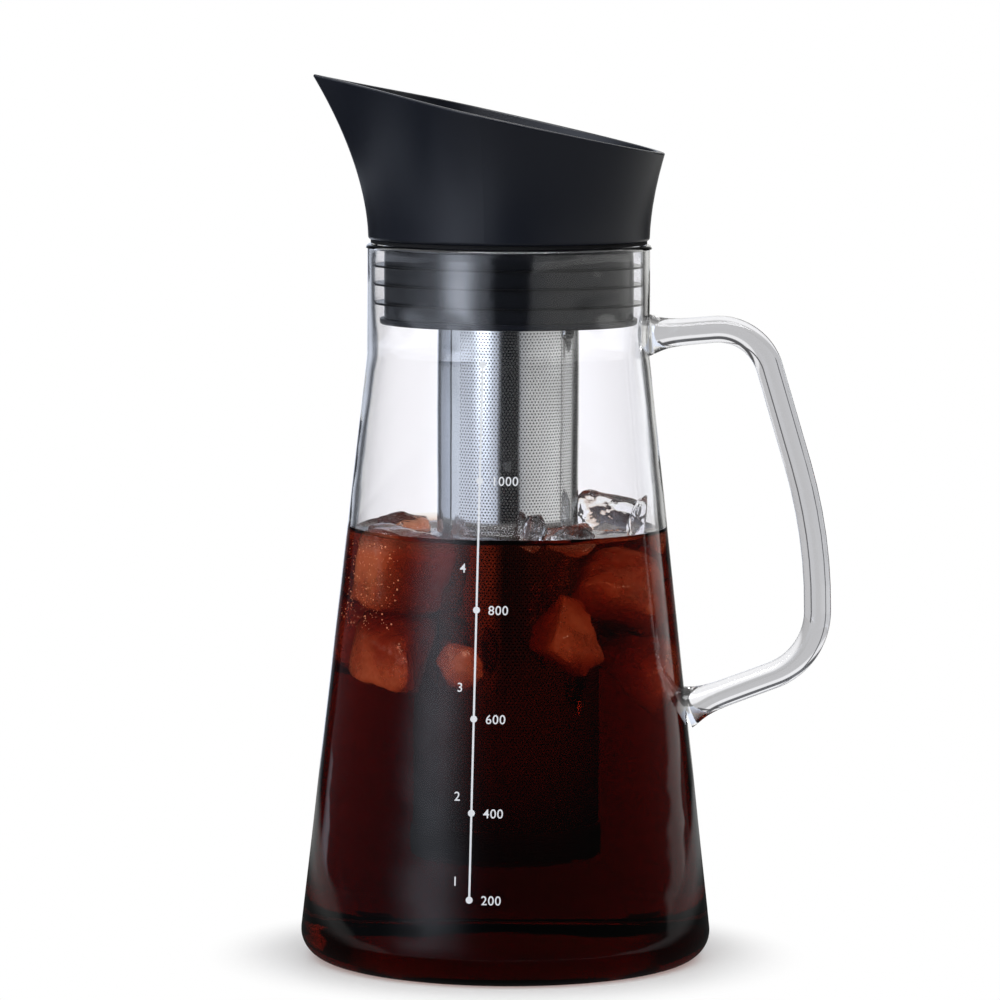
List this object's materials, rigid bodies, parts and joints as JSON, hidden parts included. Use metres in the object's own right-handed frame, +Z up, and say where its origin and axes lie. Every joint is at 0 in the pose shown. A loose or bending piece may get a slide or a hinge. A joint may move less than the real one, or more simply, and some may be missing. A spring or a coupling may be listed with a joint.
{
  "type": "cold brew coffee maker",
  "caption": "Glass carafe with a rod handle, a black slant-rimmed pouring lid plugged into its neck and a perforated steel filter tube hanging from the lid.",
  "frame": {"origin": "on the carafe's axis, in the plane of the ring that it stands on", "axes": "+Z up along the carafe's axis, -X towards the pouring lip, +X towards the handle"},
  "size_m": [0.1486, 0.1152, 0.2476],
  "materials": {
    "clear_glass": "fire-polished",
    "black_plastic": "fine satin",
    "dark_silicone": "satin",
    "steel": "etched sheet, satin",
    "coffee": "clear liquid",
    "ice": "wet ice",
    "white_print": "fired-on ink"
  },
  "bodies": {
    "carafe": {"carafe_body": "clear_glass", "carafe_handle": "clear_glass"},
    "lid": {"pouring_spout": "black_plastic", "neck_insert": "black_plastic", "neck_seal": "dark_silicone", "deck_seal": "dark_silicone", "flap_pin": "steel"},
    "flap": {"pour_flap": "black_plastic", "flap_pad": "dark_silicone"},
    "filter": {"filter_collar": "black_plastic", "collar_gasket": "dark_silicone", "filter_band": "steel", "filter_mesh": "steel", "filter_base": "steel"}
  },
  "joints": [
    {"name": "lid_lift", "type": "slide", "parent": "carafe", "child": "lid", "axis": [0, 0, 1], "range_m": [0, 0.19]},
    {"name": "flap_hinge", "type": "hinge", "parent": "lid", "child": "flap", "pos_m": [-0.01212, 0, 0.2084], "axis": [0, 1, 0], "range_deg": [0, 80]},
    {"name": "filter_pull", "type": "slide", "parent": "lid", "child": "filter", "axis": [0, 0, -1], "range_m": [0, 0.018]}
  ]
}
